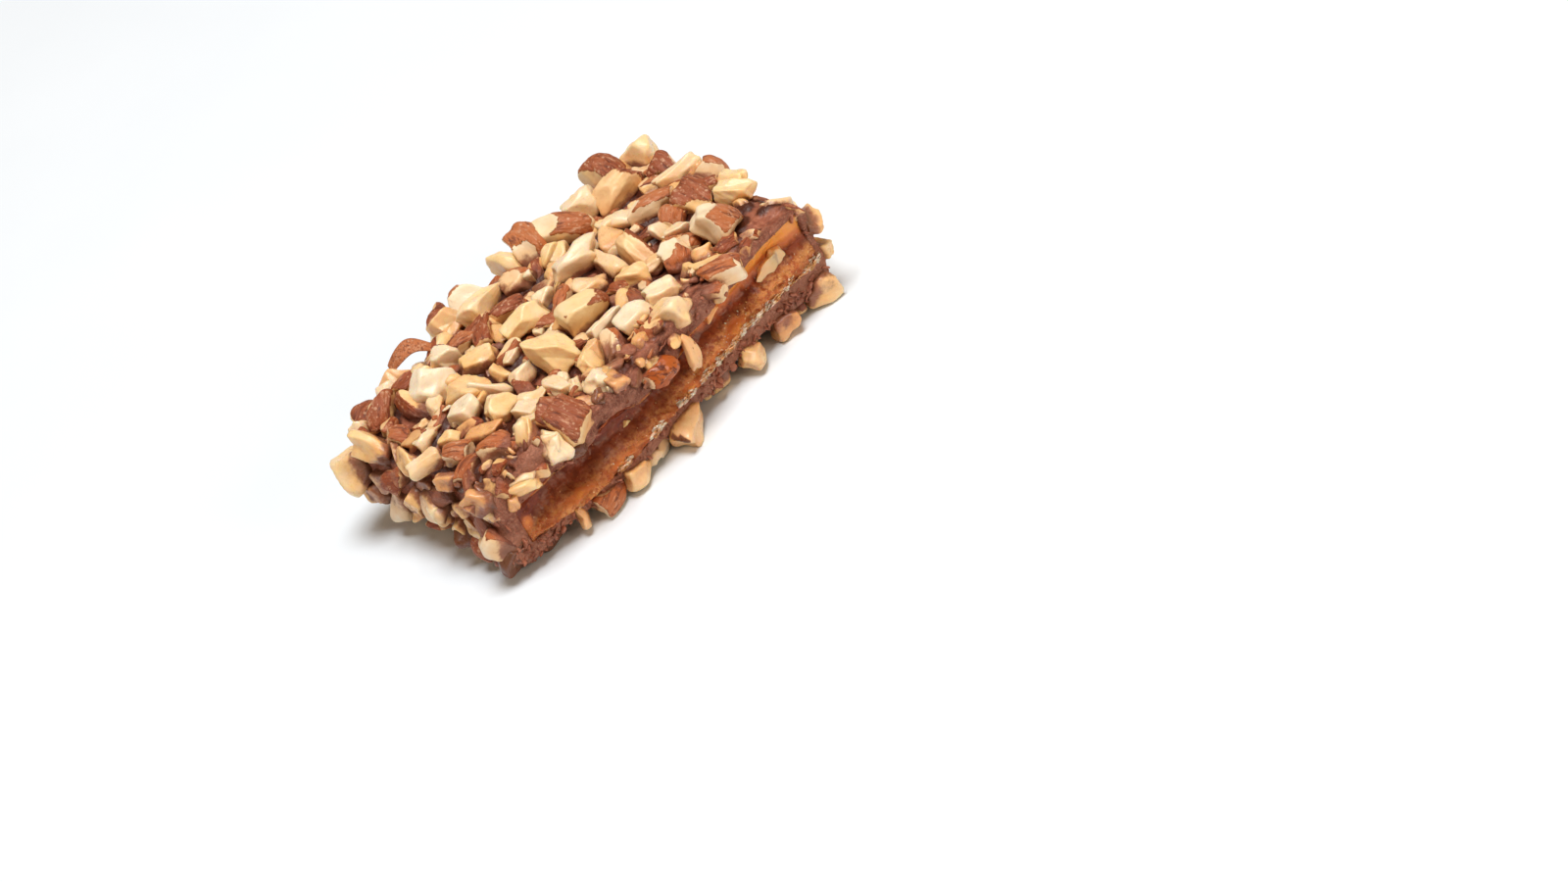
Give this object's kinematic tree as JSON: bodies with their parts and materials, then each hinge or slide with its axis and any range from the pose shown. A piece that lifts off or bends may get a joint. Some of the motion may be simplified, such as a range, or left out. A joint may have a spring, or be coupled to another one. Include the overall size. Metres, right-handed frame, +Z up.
{
  "type": "english toffee",
  "caption": "Half of a snapped toffee square: an amber toffee core that shows at the broken face, coated in milk chocolate and covered all over with chopped almonds.",
  "frame": {"origin": "middle of the box, on the surface that the piece lies on", "axes": "+X along the broken face, which looks to -Y; +Z up"},
  "size_m": [0.0542, 0.0366, 0.0152],
  "materials": {
    "milk_chocolate": "satin",
    "toffee": "gloss"
  },
  "bodies": {
    "root": {"chocolate_almond_coat": "milk_chocolate", "toffee": "toffee"}
  },
  "joints": []
}
